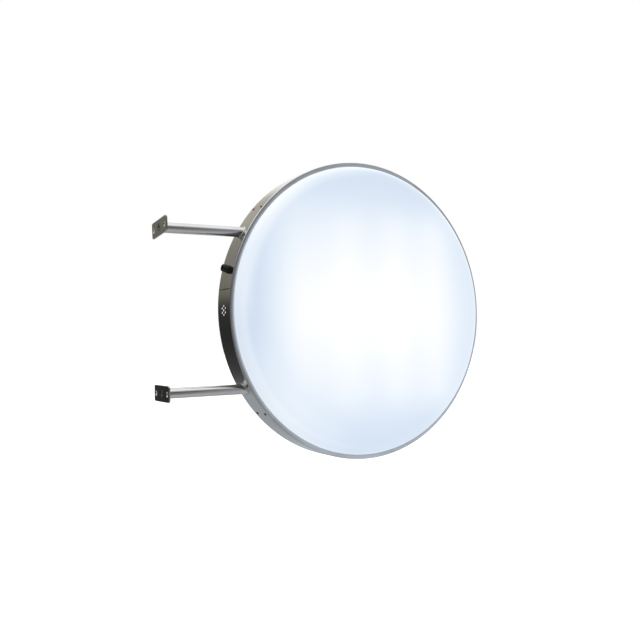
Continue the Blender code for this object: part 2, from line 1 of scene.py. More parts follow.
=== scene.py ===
"""Looks of the round light-box sign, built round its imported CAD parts.

Metres, +Z up. The wall plane is x = 0, the drum's axis runs along Y, and the front face looks along -Y.
"""

from math import cos, pi, radians, sin, sqrt, tan, tau

import bmesh
import bpy
from mathutils import Matrix, Vector


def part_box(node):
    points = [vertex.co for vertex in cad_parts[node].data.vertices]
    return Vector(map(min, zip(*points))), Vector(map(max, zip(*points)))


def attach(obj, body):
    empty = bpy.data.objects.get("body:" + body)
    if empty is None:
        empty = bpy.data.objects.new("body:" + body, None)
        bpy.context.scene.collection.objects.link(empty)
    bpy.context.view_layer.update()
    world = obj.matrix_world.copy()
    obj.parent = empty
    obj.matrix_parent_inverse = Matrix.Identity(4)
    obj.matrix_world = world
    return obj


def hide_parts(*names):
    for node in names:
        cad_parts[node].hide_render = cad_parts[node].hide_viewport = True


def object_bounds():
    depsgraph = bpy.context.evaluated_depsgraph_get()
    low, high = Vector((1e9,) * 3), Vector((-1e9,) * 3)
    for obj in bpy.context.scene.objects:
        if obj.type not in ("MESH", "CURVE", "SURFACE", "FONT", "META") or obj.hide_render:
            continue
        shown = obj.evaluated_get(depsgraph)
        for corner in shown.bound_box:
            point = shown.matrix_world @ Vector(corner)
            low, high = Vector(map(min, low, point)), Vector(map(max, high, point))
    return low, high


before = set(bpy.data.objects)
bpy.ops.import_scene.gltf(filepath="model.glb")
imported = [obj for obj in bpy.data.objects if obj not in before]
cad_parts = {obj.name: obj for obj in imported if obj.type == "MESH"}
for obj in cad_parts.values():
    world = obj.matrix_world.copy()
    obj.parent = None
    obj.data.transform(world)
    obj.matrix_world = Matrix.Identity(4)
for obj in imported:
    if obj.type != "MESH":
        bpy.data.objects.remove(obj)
cad_low, cad_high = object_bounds()

# Sizes of the parts, in metres, and angles in degrees
GAP = 0.0003  # between pieces that touch, and the smallest rounded edge
LIP_WIDTH = 0.0092
LIP_THICK = 0.0020
SKIRT_DEPTH = 0.016
SHEET = 0.0015  # walls of the band, the skirt and the tubes
GASKET_THICK = 0.0010
BRIM_PLAY = 0.0007
ACRYLIC = 0.003
FACE_RISE = 0.0145
SHOULDER_RADIUS = 0.014
FACE_FILLET = 0.0012
CROWN = 0.003
SEAM_ANGLE = 172.5
SEAM_WIDTH = 0.0016
VENT_RADIUS = 0.0020
VENT_PITCH = 0.0082
SCREW_ANGLES = {"wall_top": 139, "wall_bottom": 221, "street_bottom": 319, "street_top": 41}
SCREW_Y = 0.0165
SCREW_RADIUS = 0.0015
SCREW_HEAD_RADIUS = 0.0026
SCREW_SOCKET_RADIUS = 0.0010
TUBE_RADIUS = 0.0095
TUBE_EDGE = 0.0004
BEAD_WIDTH = 0.0012
BEAD_RIPPLES = 40
BOLT_RADIUS = 0.004
PLATE_SCREW_RADIUS = 0.003
PLATE_SOCKET_RADIUS = 0.0023
COUNTERSINK_RADIUS = 0.0076
COUNTERSINK_DEPTH = 0.0032
PLATE_WIDTH = 0.076
PLATE_HEIGHT = 0.029
PLATE_CORNER = 0.004
PLATE_BEVEL = 0.0004
PLATE_SWING = {"upper": -5, "lower": 0}
SLOT_Y = 0.029
SLOT_RADIUS = 0.0043
SLOT_STRAIGHT = 0.0007
GLAND_ANGLE = 165.3
GLAND_Y = -0.0044
GLAND_THREAD_RADIUS = 0.0058
GLAND_BORE = 0.0045
GLAND_RIBS = 16
CUT_DEPTH = 0.006  # of a cutter, each way from the surface of the band

# Places, from the frame
band_low, band_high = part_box("body_band")
ring_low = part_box("front_trim_ring")[0]
plate_low, plate_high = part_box("lower_wall_plate")
tube_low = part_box("upper_arm_tube")[0]
RADIUS = (band_high.z - band_low.z) / 2
DRUM = Vector(((band_low.x + band_high.x) / 2, 0, 0))
FRONT = -ring_low.y
LIP_INNER = RADIUS - LIP_WIDTH
LIP_BACK = FRONT - LIP_THICK
SKIRT_OUTER = RADIUS - SHEET - GAP
SKIRT_INNER = SKIRT_OUTER - SHEET
BRIM_RADIUS = SKIRT_INNER - BRIM_PLAY
BRIM_FRONT = LIP_BACK - GASKET_THICK - 2 * GAP
ARM_Z = -(plate_low.z + plate_high.z) / 2
PLATE_THICK = plate_high.x
TUBE_START = tube_low.x

SIDES = 256  # round the drum
FINE = 96  # round a tube or the gland
RIBBED = 192  # round a weld bead or the ribbed nut
SHARP = radians(35)


# ---------------------------------------------------------------- meshes


def rounded(points, radius, steps=4):
    """A closed outline with its corners rounded, by one radius or by one for each corner."""
    radii = radius if isinstance(radius, list) else [radius] * len(points)
    outline = []
    for i, (point, r) in enumerate(zip(points, radii)):
        corner = Vector(point)
        if not r:
            outline.append(tuple(corner))
            continue
        before = (Vector(points[i - 1]) - corner).normalized()
        after = (Vector(points[(i + 1) % len(points)]) - corner).normalized()
        half = before.angle(after) / 2
        centre = corner + (before + after).normalized() * r / sin(half)
        start = corner + before * r / tan(half) - centre
        end = corner + after * r / tan(half) - centre
        for k in range(steps + 1):
            outline.append(tuple(centre + start.lerp(end, k / steps).normalized() * r))
    return outline


def circle(radius, sides=48):
    """A closed outline round the origin. With six sides it is a hexagon."""
    return [(radius * cos(tau * i / sides), radius * sin(tau * i / sides)) for i in range(sides)]


def arc(cx, cy, radius, start, end, steps):
    """Points on an arc, angles in degrees, both ends included."""
    turns = [radians(start + (end - start) * i / steps) for i in range(steps + 1)]
    return [(cx + radius * cos(t), cy + radius * sin(t)) for t in turns]


def skin(bm, first, second):
    """Faces between two rings of vertices, where either may be one point."""
    count = max(len(first), len(second))
    for i in range(count):
        j = (i + 1) % count
        if len(first) == 1:
            bm.faces.new((first[0], second[i], second[j]))
        elif len(second) == 1:
            bm.faces.new((first[i], second[0], first[j]))
        else:
            bm.faces.new((first[i], first[j], second[j], second[i]))


def loft(rings, closed):
    """A bmesh skinned over rings of points."""
    bm = bmesh.new()
    made = [[bm.verts.new(point) for point in ring] for ring in rings]
    for first, second in zip(made, made[1:]):
        skin(bm, first, second)
    if closed:
        skin(bm, made[-1], made[0])
    return bm


def turned(profile, sides=SIDES, closed=True, wave=None):
    """A profile of (radius, height) points turned about Z. wave(angle, height) scales the radius."""
    rings = []
    for r, h in profile:
        if r < 1e-7:
            rings.append([(0, 0, h)])
            continue
        turns = [tau * i / sides for i in range(sides)]
        radii = [r * wave(t, h) if wave else r for t in turns]
        rings.append([(q * cos(t), q * sin(t), h) for q, t in zip(radii, turns)])
    return loft(rings, closed)


def prism(outline, low, high):
    """A bmesh of a closed outline of (x, y) points between two heights."""
    bm = bmesh.new()
    ends = [[bm.verts.new((x, y, h)) for x, y in outline] for h in (low, high)]
    skin(bm, *ends)
    bm.faces.new(ends[0])
    bm.faces.new(ends[1])
    return bm


def mesh_of(bm, name, *looks):
    """A smooth-shaded mesh from a bmesh, with its faces pointing out."""
    bmesh.ops.recalc_face_normals(bm, faces=bm.faces)
    mesh = bpy.data.meshes.new(name)
    bm.to_mesh(mesh)
    bm.free()
    for look in looks:
        mesh.materials.append(look)
    mesh.shade_smooth()
    mesh.set_sharp_from_angle(angle=SHARP)
    return mesh


def linked(name, data):
    """A new object in the scene."""
    obj = bpy.data.objects.new(name, data)
    bpy.context.scene.collection.objects.link(obj)
    return obj


def scratch(bm, place=None):
    """A temporary object that a Boolean reads."""
    mesh = mesh_of(bm, "scratch")
    if place:
        mesh.transform(place)
    return linked("scratch", mesh)


def carved(mesh, cuts=(), keep=(), join=(), bevel=0.0):
    """The mesh with each of join, less each of cuts and within each of keep, its sharp edges bevelled."""
    obj = linked("carved", mesh)
    for operation, tools in (("UNION", join), ("DIFFERENCE", cuts), ("INTERSECT", keep)):
        for tool in tools:
            modifier = obj.modifiers.new("cut", "BOOLEAN")
            modifier.operation = operation
            modifier.object = tool
    if bevel:
        modifier = obj.modifiers.new("edges", "BEVEL")
        modifier.width = bevel
        modifier.segments = 3
        modifier.limit_method = "ANGLE"
        modifier.angle_limit = SHARP
        modifier.harden_normals = True
    bpy.context.view_layer.update()
    graph = bpy.context.evaluated_depsgraph_get()
    made = bpy.data.meshes.new_from_object(obj.evaluated_get(graph))
    bpy.data.objects.remove(obj)
    for tool in [*join, *cuts, *keep]:
        bpy.data.objects.remove(tool)
    return made


def piece(name, mesh, body, slot, *nodes, place=None):
    """Adds a mesh to the scene as a piece that rides on a body and stands for CAD nodes."""
    obj = linked(name, mesh)
    if place:
        obj.matrix_world = place
    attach(obj, body)
    if nodes:
        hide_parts(*nodes)
    return obj


def drum_axis(side):
    """Matrix that lays a turned shape's Z along the drum's axis, out of its front or rear face."""
    return Matrix.Translation(DRUM) @ Matrix.Rotation(pi / 2 if side == "front" else -pi / 2, 4, "X")


def radial(angle, y=0.0, radius=RADIUS):
    """Matrix at a point on the drum's outside, with Z pointing out of the drum."""
    a = radians(angle)
    at = DRUM + Vector((radius * cos(a), y, radius * sin(a)))
    return Matrix.Translation(at) @ Matrix.Rotation(pi / 2 - a, 4, "Y")


def along_x(z, x=0.0, y=0.0):
    """Matrix that turns a shape's Z to point along +X."""
    return Matrix.Translation((x, y, z)) @ Matrix.Rotation(pi / 2, 4, "Y")


def round_normals(mesh):
    """Gives the cylindrical walls about the drum's axis exact normals, and every other face its own."""
    normals = [None] * len(mesh.loops)
    for face in mesh.polygons:
        out = face.center - DRUM
        out.y = 0
        out.normalize()
        facing = face.normal.dot(out)
        for loop in face.loop_indices:
            at = mesh.vertices[mesh.loops[loop].vertex_index].co - DRUM
            at.y = 0
            curved = abs(facing) > 0.99
            normals[loop] = at.normalized() * (1 if facing > 0 else -1) if curved else face.normal
    mesh.normals_split_custom_set(normals)


# ---------------------------------------------------------------- materials


class Graph:
    """Short calls that add shader nodes to one tree. Each returns an output socket."""

    def __init__(self, tree):
        self.tree = tree

    def add(self, kind, **settings):
        node = self.tree.nodes.new(kind)
        for key, value in settings.items():
            setattr(node, key, value)
        return node

    def feed(self, socket, value):
        if isinstance(value, bpy.types.NodeSocket):
            self.tree.links.new(value, socket)
        else:
            socket.default_value = value

    def math(self, operation, *values):
        node = self.add("ShaderNodeMath", operation=operation)
        for socket, value in zip(node.inputs, values):
            self.feed(socket, value)
        return node.outputs[0]

    def total(self, *values):
        result = values[0]
        for value in values[1:]:
            result = self.math("ADD", result, value)
        return result

    def product(self, *values):
        result = values[0]
        for value in values[1:]:
            result = self.math("MULTIPLY", result, value)
        return result

    def length(self, first, second):
        return self.math("SQRT", self.total(self.product(first, first), self.product(second, second)))

    def step(self, value, start, end, low=0.0, high=1.0):
        """Smooth step from low at start to high at end."""
        node = self.add("ShaderNodeMapRange", interpolation_type="SMOOTHSTEP")
        inputs = {"Value": value, "From Min": start, "From Max": end, "To Min": low, "To Max": high}
        for name, given in inputs.items():
            self.feed(node.inputs[name], given)
        return node.outputs["Result"]

    def ramp(self, value, stops):
        """Colour ramp through (place, colour) stops."""
        node = self.add("ShaderNodeValToRGB")
        elements = node.color_ramp.elements
        while len(elements) < len(stops):
            elements.new(0.5)
        for element, (at, colour) in zip(elements, stops):
            element.position = at
            element.color = (*colour, 1)
        self.feed(node.inputs[0], value)
        return node.outputs["Color"]

    def mix(self, factor, first, second):
        """Mixture of two colours, each a socket or three numbers."""
        node = self.add("ShaderNodeMix", data_type="RGBA")
        self.feed(node.inputs["Factor"], factor)
        for socket, value in ((node.inputs[6], first), (node.inputs[7], second)):
            self.feed(socket, (*value, 1) if isinstance(value, tuple) else value)
        return node.outputs[2]

    def split(self, vector):
        node = self.add("ShaderNodeSeparateXYZ")
        self.feed(node.inputs[0], vector)
        return node.outputs["X"], node.outputs["Y"], node.outputs["Z"]

    def join(self, x, y, z):
        node = self.add("ShaderNodeCombineXYZ")
        for socket, value in zip(node.inputs, (x, y, z)):
            self.feed(socket, value)
        return node.outputs[0]

    def place(self):
        """Position on the piece, which the CAD frame's coordinates are the same as."""
        return self.add("ShaderNodeTexCoord").outputs["Object"]

    def noise(self, vector, scale, detail=2.0, roughness=0.5):
        node = self.add("ShaderNodeTexNoise")
        self.feed(node.inputs["Vector"], vector)
        for name, value in (("Scale", scale), ("Detail", detail), ("Roughness", roughness)):
            node.inputs[name].default_value = value
        return node.outputs["Fac"]

    def lines(self, place, along, across, detail, roughness=0.5):
        """Noise drawn out along the first of a place's three coordinates, with its scale each way."""
        length, *others = place
        stretched = [self.product(length, along), *(self.product(other, across) for other in others)]
        return self.noise(self.join(*stretched), 1.0, detail, roughness)

    def bump(self, height, depth):
        """Bump of a height from 0 to 1 over a depth in metres."""
        node = self.add("ShaderNodeBump")
        self.feed(node.inputs["Height"], height)
        node.inputs["Distance"].default_value = depth
        node.inputs["Strength"].default_value = 1.0
        return node.outputs[0]


def finish_of(name, colour, roughness, metallic=0.0, **sockets):
    """A Principled material, as its graph and its shader."""
    made = bpy.data.materials.new(name)
    made.use_nodes = True
    shader = made.node_tree.nodes["Principled BSDF"]
    shader.inputs["Base Color"].default_value = (*colour, 1)
    shader.inputs["Roughness"].default_value = roughness
    shader.inputs["Metallic"].default_value = metallic
    for key, value in sockets.items():
        shader.inputs[key.replace("_", " ")].default_value = value
    return made, Graph(made.node_tree), shader


def shaded(colour, share):
    return tuple(c * share for c in colour)


def hoop_place(graph):
    """(length round the drum, radius, width) of a point on a piece that goes round the drum."""
    x, y, z = graph.split(graph.place())
    across = graph.math("SUBTRACT", x, DRUM.x)
    angle = graph.math("ARCTAN2", graph.product(z, -1.0), graph.product(across, -1.0))
    return graph.product(angle, RADIUS), graph.length(across, z), y


def lengthways(axis):
    """Maker of (along, across, across) coordinates for a piece whose grain runs along one axis."""

    def made(graph):
        x, y, z = graph.split(graph.place())
        return {"X": (x, y, z), "Y": (y, z, x), "Z": (z, x, y)}[axis]

    return made


def steel(name, colour, roughness, grain, depth=1.5e-5, smudge=0.05, stain=(0.53, 0.53, 0.53)):
    """Rolled or polished steel: fine grain along the sheet, handling smudges and a few long scratches."""
    made, graph, shader = finish_of(name, colour, roughness, 1.0)
    place = grain(graph)
    streaks = graph.lines(place, 45.0, 2600.0, 3.0, 0.6)
    scratches = graph.lines(place, 9.0, 420.0, 1.0)
    scratch_mask = graph.step(scratches, 0.70, 0.76)
    smudges = graph.noise(graph.place(), 14.0, 4.0, 0.62)
    tone = graph.ramp(streaks, [(0.25, shaded(colour, 0.94)), (0.75, colour)])
    tone = graph.mix(graph.step(smudges, 0.42, 0.72, 0.0, 0.6), tone, stain)
    graph.feed(shader.inputs["Base Color"], tone)
    rough = graph.total(
        roughness - 0.02,
        graph.product(streaks, 0.05),
        graph.step(smudges, 0.40, 0.72, 0.0, smudge),
        graph.product(scratch_mask, 0.06),
    )
    graph.feed(shader.inputs["Roughness"], rough)
    height = graph.total(streaks, graph.product(scratch_mask, -0.8))
    graph.feed(shader.inputs["Normal"], graph.bump(height, depth))
    return made


def zinc(name, colour, roughness):
    """Plated steel with faint blotches and a fine pitted skin."""
    made, graph, shader = finish_of(name, colour, roughness, 1.0)
    place = graph.place()
    blotch = graph.noise(place, 90.0, 3.0, 0.6)
    pits = graph.noise(place, 2400.0, 2.0)
    graph.feed(shader.inputs["Base Color"], graph.ramp(blotch, [(0.3, shaded(colour, 0.78)), (0.7, colour)]))
    graph.feed(shader.inputs["Roughness"], graph.total(roughness - 0.06, graph.product(blotch, 0.16)))
    graph.feed(shader.inputs["Normal"], graph.bump(pits, 2e-5))
    return made


def aluminium(name, axis):
    """Extruded aluminium with die lines along one axis."""
    colour = (0.74, 0.75, 0.76)
    made, graph, shader = finish_of(name, colour, 0.38, 1.0)
    lines = graph.lines(lengthways(axis)(graph), 6.0, 1500.0, 2.0)
    graph.feed(shader.inputs["Base Color"], graph.ramp(lines, [(0.3, shaded(colour, 0.88)), (0.7, colour)]))
    graph.feed(shader.inputs["Roughness"], graph.total(0.30, graph.product(lines, 0.16)))
    graph.feed(shader.inputs["Normal"], graph.bump(lines, 1.5e-5))
    return made


DUST = (0.20, 0.19, 0.18)


def grained_plastic(name, colour, roughness, scale, depth, speckle=0.8):
    """Moulded plastic or rubber with a spark-eroded texture."""
    made, graph, shader = finish_of(name, colour, roughness)
    place = graph.place()
    grain = graph.noise(place, scale, 3.0, 0.6)
    dust = graph.noise(place, 160.0, 4.0, 0.65)
    tone = graph.ramp(grain, [(0.35, shaded(colour, speckle)), (0.65, colour)])
    tone = graph.mix(graph.step(dust, 0.5, 0.8, 0.0, 0.06), tone, DUST)
    graph.feed(shader.inputs["Base Color"], tone)
    graph.feed(shader.inputs["Roughness"], graph.total(roughness - 0.05, graph.product(dust, 0.16)))
    graph.feed(shader.inputs["Normal"], graph.bump(grain, depth))
    return made


# The lit face, seen from outside: how bright it is at the rim, how much each lit bar adds, and the painted
# highlights on its shoulder and rim.
# Pairs say where a change begins and ends, in metres from the drum's axis.
RIM_GLOW = 0.669
PANEL_GLOW = 0.289
PANEL_WALL_EDGE = (-0.266, -0.152)
PANEL_STREET_FADE = (0.0, 0.447)
PANEL_HEIGHT_FADE = (0.0, 0.313)
BARS = ((-0.137, 0.026), (-0.051, 0.086), (0.066, 0.101), (0.168, 0.126))
BAR_SPREAD = 0.051
BAR_ENDS = (0.157, 0.236)
SHOULDER = (0.266, 0.281)
# Painted highlight on the face's rounded shoulder: some everywhere, and more towards the wall side.
SHOULDER_PAINTED_HIGHLIGHT = 0.025
WALL_SHOULDER_PAINTED_HIGHLIGHT = 0.06
WALLWARD = (-0.3, -0.8)  # by direction, as a cosine
# Painted highlights on the rim, above and below the wall side: the sign of their height, where they begin
# and are full by direction and then by reach, how much the reach grows with height, and their strength
RIM_PAINTED_HIGHLIGHTS = (
    (1.0, (0.85, 1.20), (0.252, 0.268), 0.044, 0.074),
    (-1.0, (1.10, 1.38), (0.222, 0.256), 0.0, 0.045),
)
GLOW_AND_HIGHLIGHT_TONES = [
    (0.64, (0.46, 0.55, 0.68)),
    (0.69, (0.52, 0.60, 0.715)),
    (0.76, (0.595, 0.67, 0.765)),
    (0.84, (0.67, 0.73, 0.80)),
    (1.00, (0.84, 0.84, 0.84)),
]


def opal():
    """Opal acrylic lit from behind: four soft bars that fade into a pale blue rim, and painted highlights on
    its shoulder and rim.
    """
    colour = (0.34, 0.36, 0.38)
    made, graph, shader = finish_of("opal_acrylic_lit", colour, 0.14, IOR=1.49, Emission_Strength=1.0)
    x, y, z = graph.split(graph.place())
    across = graph.math("SUBTRACT", x, DRUM.x)
    height = graph.math("ABSOLUTE", z)
    panel = graph.product(
        graph.step(across, *PANEL_WALL_EDGE),
        graph.step(across, *PANEL_STREET_FADE, 1.0, 0.0),
        graph.step(height, *PANEL_HEIGHT_FADE, 1.0, 0.0),
        PANEL_GLOW,
    )
    bars = []
    for bar, gain in BARS:
        away = graph.product(graph.math("SUBTRACT", across, bar), 1 / BAR_SPREAD)
        bars.append(graph.product(graph.math("EXPONENT", graph.product(away, away, -1.0)), gain))
    lit = graph.product(graph.total(*bars), graph.step(height, *BAR_ENDS, 1.0, 0.0))
    reach = graph.length(across, z)
    # Painted highlight on the shoulder, stronger towards the wall side.
    wallward = graph.step(graph.math("DIVIDE", across, reach), *WALLWARD)
    highlight_strength = graph.total(SHOULDER_PAINTED_HIGHLIGHT, graph.product(wallward, WALL_SHOULDER_PAINTED_HIGHLIGHT))
    shoulder = graph.product(graph.step(reach, *SHOULDER), highlight_strength)
    rim_highlights = []
    # Painted highlights on the rim, above and below the wall side.
    for up, directions, reaches, shift, gain in RIM_PAINTED_HIGHLIGHTS:
        toward = graph.math("DIVIDE", graph.math("SUBTRACT", graph.product(z, up), across), reach)
        edge = graph.step(graph.math("SUBTRACT", reach, graph.product(z, shift)), *reaches)
        rim_highlights.append(graph.product(graph.step(toward, *directions), edge, gain))
    haze = graph.product(graph.noise(graph.place(), 22.0, 3.0), 0.012)
    # The lamp's glow, with the painted highlights on the shoulder and rim added to it.
    glow_and_highlights = graph.total(RIM_GLOW, panel, lit, shoulder, haze, *rim_highlights)
    graph.feed(shader.inputs["Emission Color"], graph.ramp(glow_and_highlights, GLOW_AND_HIGHLIGHT_TONES))
    dust = graph.noise(graph.place(), 260.0, 4.0, 0.7)
    graph.feed(shader.inputs["Base Color"], graph.ramp(dust, [(0.4, colour), (0.8, shaded(colour, 0.96))]))
    ripple = graph.noise(graph.place(), 35.0, 2.0)
    graph.feed(shader.inputs["Roughness"], graph.total(0.10, graph.product(dust, 0.08)))
    graph.feed(shader.inputs["Normal"], graph.bump(ripple, 4e-5))
    return made


LED_TINT = (0.86, 0.93, 1.0)


def opal_inside():
    """The side of the acrylic that the boards light, brighter than the outside."""
    colour = (0.80, 0.82, 0.84)
    made, graph, shader = finish_of("opal_acrylic_inside", colour, 0.30, IOR=1.49, Emission_Strength=1.0)
    haze = graph.noise(graph.place(), 60.0, 3.0)
    tone = graph.ramp(haze, [(0.3, LED_TINT), (0.7, (0.90, 0.96, 1.0))])
    graph.feed(shader.inputs["Emission Color"], tone)
    graph.feed(shader.inputs["Base Color"], graph.ramp(haze, [(0.3, shaded(colour, 0.95)), (0.7, colour)]))
    return made


def led_board():
    """White solder mask, with lit lens blocks where the board stands proud."""
    colour = (0.80, 0.81, 0.79)
    made, graph, shader = finish_of("led_board_lit", colour, 0.42, Emission_Strength=6.0)
    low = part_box("led_board_front_1")[0]
    y = graph.split(graph.place())[1]
    lens = graph.step(graph.math("ABSOLUTE", y), -low.y - 0.0032, -low.y - 0.0026)
    graph.feed(shader.inputs["Emission Color"], graph.mix(lens, (0.0, 0.0, 0.0), LED_TINT))
    mask = graph.noise(graph.place(), 700.0, 3.0)
    graph.feed(shader.inputs["Base Color"], graph.ramp(mask, [(0.3, shaded(colour, 0.92)), (0.7, colour)]))
    graph.feed(shader.inputs["Roughness"], graph.total(0.34, graph.product(mask, 0.16)))
    graph.feed(shader.inputs["Normal"], graph.bump(mask, 1e-5))
    return made


BAND_STEEL = steel("band_steel_polished", (0.64, 0.64, 0.63), 0.12, hoop_place, stain=(0.55, 0.54, 0.44))
TRIM_STEEL = steel("trim_steel_brushed", (0.78, 0.78, 0.78), 0.22, hoop_place)
ARM_STEEL = steel("arm_steel_polished", (0.66, 0.66, 0.66), 0.15, lengthways("X"))
WELD_STEEL = zinc("weld_bead", (0.94, 0.94, 0.94), 0.45)
# Dark grey for the joint plate: painted shade that shows through the seam slit.
SEAM_PAINTED_SHADE = zinc("joint_plate_painted_shade", (0.22, 0.22, 0.21), 0.50)
# Near-black painted shade for the wall plates' countersinks.
COUNTERSINK_PAINTED_SHADE = zinc("countersink_painted_shade", (0.12, 0.12, 0.115), 0.50)
PLATE_STEEL = steel("plate_steel_rolled", (0.56, 0.54, 0.50), 0.15, lengthways("Y"), 2.5e-5, 0.06)
SCREW_STEEL = zinc("fastener_blackened", (0.36, 0.36, 0.34), 0.34)
# Near-black painted shade for the inside of the plate screws' hex sockets.
SOCKET_PAINTED_SHADE = zinc("socket_painted_shade", (0.09, 0.09, 0.09), 0.45)
ZINC = zinc("zinc_plate", (0.56, 0.57, 0.58), 0.34)
ALUMINIUM_UP = aluminium("aluminium_upright", "Z")
ALUMINIUM_ACROSS = aluminium("aluminium_across", "X")
ALUMINIUM_RING = steel("aluminium_ring", (0.78, 0.78, 0.78), 0.42, hoop_place)
NYLON = grained_plastic("black_nylon_moulded", (0.011, 0.011, 0.011), 0.40, 2200.0, 5e-5)
RUBBER = grained_plastic("black_rubber_moulded", (0.026, 0.026, 0.026), 0.72, 1300.0, 4e-5)
TERMINAL = grained_plastic("terminal_plastic_moulded", (0.78, 0.76, 0.68), 0.46, 900.0, 3e-5, 0.95)
JACKET = grained_plastic("lead_jacket_pvc", (0.05, 0.05, 0.05), 0.50, 1100.0, 3e-5)
OPAL = opal()
OPAL_INSIDE = opal_inside()
BOARD = led_board()


# ---------------------------------------------------------------- drum


def meeting(z, reach):
    """x where a line along X at height z meets a cylinder of this radius about the drum's axis."""
    return DRUM.x - sqrt(reach**2 - z**2)


def peg(outline, place, depth=CUT_DEPTH):
    """Cutter of this outline, as deep each way from its place."""
    return scratch(prism(outline, -depth, depth), place)


def screw_hole_pegs():
    """Cutters for the clearance holes of the trim screws."""
    places = [radial(angle, y) for angle in SCREW_ANGLES.values() for y in (-SCREW_Y, SCREW_Y)]
    return [peg(circle(SCREW_RADIUS + GAP, 24), place) for place in places]


def vent_places():
    """The seven vents as matrices: one in the middle of a hexagon."""
    return [along_x(z, DRUM.x - RADIUS, y) for z, y in [(0.0, 0.0), *circle(VENT_PITCH, 6)]]


def make_band():
    """Rolled band with its vents, seam and holes."""
    edge = LIP_BACK - GAP
    inner = RADIUS - SHEET
    section = [(inner, -edge), (RADIUS, -edge), (RADIUS, edge), (inner, edge)]
    mesh = mesh_of(turned(section), "body_band", BAND_STEEL)
    mesh.transform(drum_axis("front"))
    cuts = [peg(circle(VENT_RADIUS, 32), place) for place in vent_places()]
    cuts += screw_hole_pegs()
    cuts.append(peg(circle(GLAND_THREAD_RADIUS + GAP), radial(GLAND_ANGLE, GLAND_Y)))
    for z in (-ARM_Z, ARM_Z):
        cuts.append(peg(circle(BOLT_RADIUS + GAP), along_x(z, meeting(z, RADIUS)), 2 * CUT_DEPTH))
    half = SEAM_WIDTH / 2
    slit = [(-half, -FRONT), (half, -FRONT), (half, FRONT), (-half, FRONT)]
    cuts.append(peg(slit, radial(SEAM_ANGLE)))
    mesh = carved(mesh, cuts)
    round_normals(mesh)
    piece("drum_band", mesh, "root", "band_steel", "body_band")


def trim_outline():
    """Section of the trim ring: a lip with a rolled front corner and a skirt inside the band."""
    points = [
        (LIP_INNER, LIP_BACK),
        (SKIRT_INNER, LIP_BACK),
        (SKIRT_INNER, FRONT - SKIRT_DEPTH),
        (SKIRT_OUTER, FRONT - SKIRT_DEPTH),
        (SKIRT_OUTER, LIP_BACK),
        (RADIUS, LIP_BACK),
        (RADIUS, FRONT),
        (LIP_INNER, FRONT),
    ]
    return rounded(points, [0.0004, 0, 0.0003, 0.0003, 0, 0.0004, 0.0013, 0.0007])


def face_outline():
    """Section of the vacuum-formed face, and the number of its points on the outside."""
    wall = LIP_INNER - GAP
    bend = wall - SHOULDER_RADIUS
    level = FRONT + FACE_RISE - SHOULDER_RADIUS
    top = level + SHOULDER_RADIUS
    reaches = [bend * i / 20 for i in range(20)]
    outer = [(r, top + CROWN * (1 - (r / bend) ** 2)) for r in reaches]
    outer += arc(bend, level, SHOULDER_RADIUS, 90, 0, 24)
    outer += arc(wall + FACE_FILLET, BRIM_FRONT + FACE_FILLET, FACE_FILLET, 180, 270, 6)
    outer += arc(BRIM_RADIUS - GAP, BRIM_FRONT - GAP, GAP, 90, 0, 3)
    back = BRIM_FRONT - ACRYLIC
    inner = arc(BRIM_RADIUS - GAP, back + GAP, GAP, 0, -90, 3)
    fillet = 2 * FACE_FILLET
    inner += arc(wall - ACRYLIC + fillet, back + fillet, fillet, 270, 180, 6)
    inner += arc(bend, level, SHOULDER_RADIUS - ACRYLIC, 0, 90, 12)
    inner += [(r, top - ACRYLIC + CROWN * (1 - (r / bend) ** 2)) for r in reversed(reaches[::2])]
    return outer + inner, len(outer)


def make_faces():
    """Trim ring and lit face on both sides of the drum."""
    outline, outside = face_outline()
    for side in ("front", "rear"):
        ring = mesh_of(turned(trim_outline()), f"{side}_trim", TRIM_STEEL)
        ring.transform(drum_axis(side))
        ring = carved(ring, screw_hole_pegs())
        piece(f"{side}_trim", ring, "root", "trim_steel", f"{side}_trim_ring")
        face = mesh_of(turned(outline, SIDES, closed=False), f"{side}_lit_face", OPAL, OPAL_INSIDE)
        for polygon in face.polygons:
            polygon.material_index = int(polygon.index // SIDES >= outside)
        face.transform(drum_axis(side))
        piece(f"{side}_lit_face", face, "root", "opal_acrylic", f"{side}_face")


def make_trim_screws():
    """Button-head screws with a hexagon recess."""
    reach, head, edge, top = 0.0095, SCREW_HEAD_RADIUS, 0.0009, 0.0017
    dome = [(head * cos(t), edge + (top - edge) * sin(t)) for t in (radians(15 * k) for k in range(6))]
    profile = [(0, -reach), (SCREW_RADIUS - GAP, -reach), (SCREW_RADIUS, -reach + GAP), (SCREW_RADIUS, GAP)]
    profile += [(head - 0.0001, GAP), (head, 2 * GAP), *dome, (0, top)]
    blank = mesh_of(turned(profile, 36, closed=False), "trim_screw", SCREW_STEEL)
    recess = scratch(prism(circle(SCREW_SOCKET_RADIUS, 6), edge, 2 * top))
    mesh = carved(blank, [recess])
    for corner, angle in SCREW_ANGLES.items():
        for side, y in (("front", -SCREW_Y), ("rear", SCREW_Y)):
            name = f"trim_screw_{side}_{corner}"
            piece(f"{side}_{corner}_screw", mesh, "root", "fastener_zinc", name, place=radial(angle, y))


# ---------------------------------------------------------------- arms


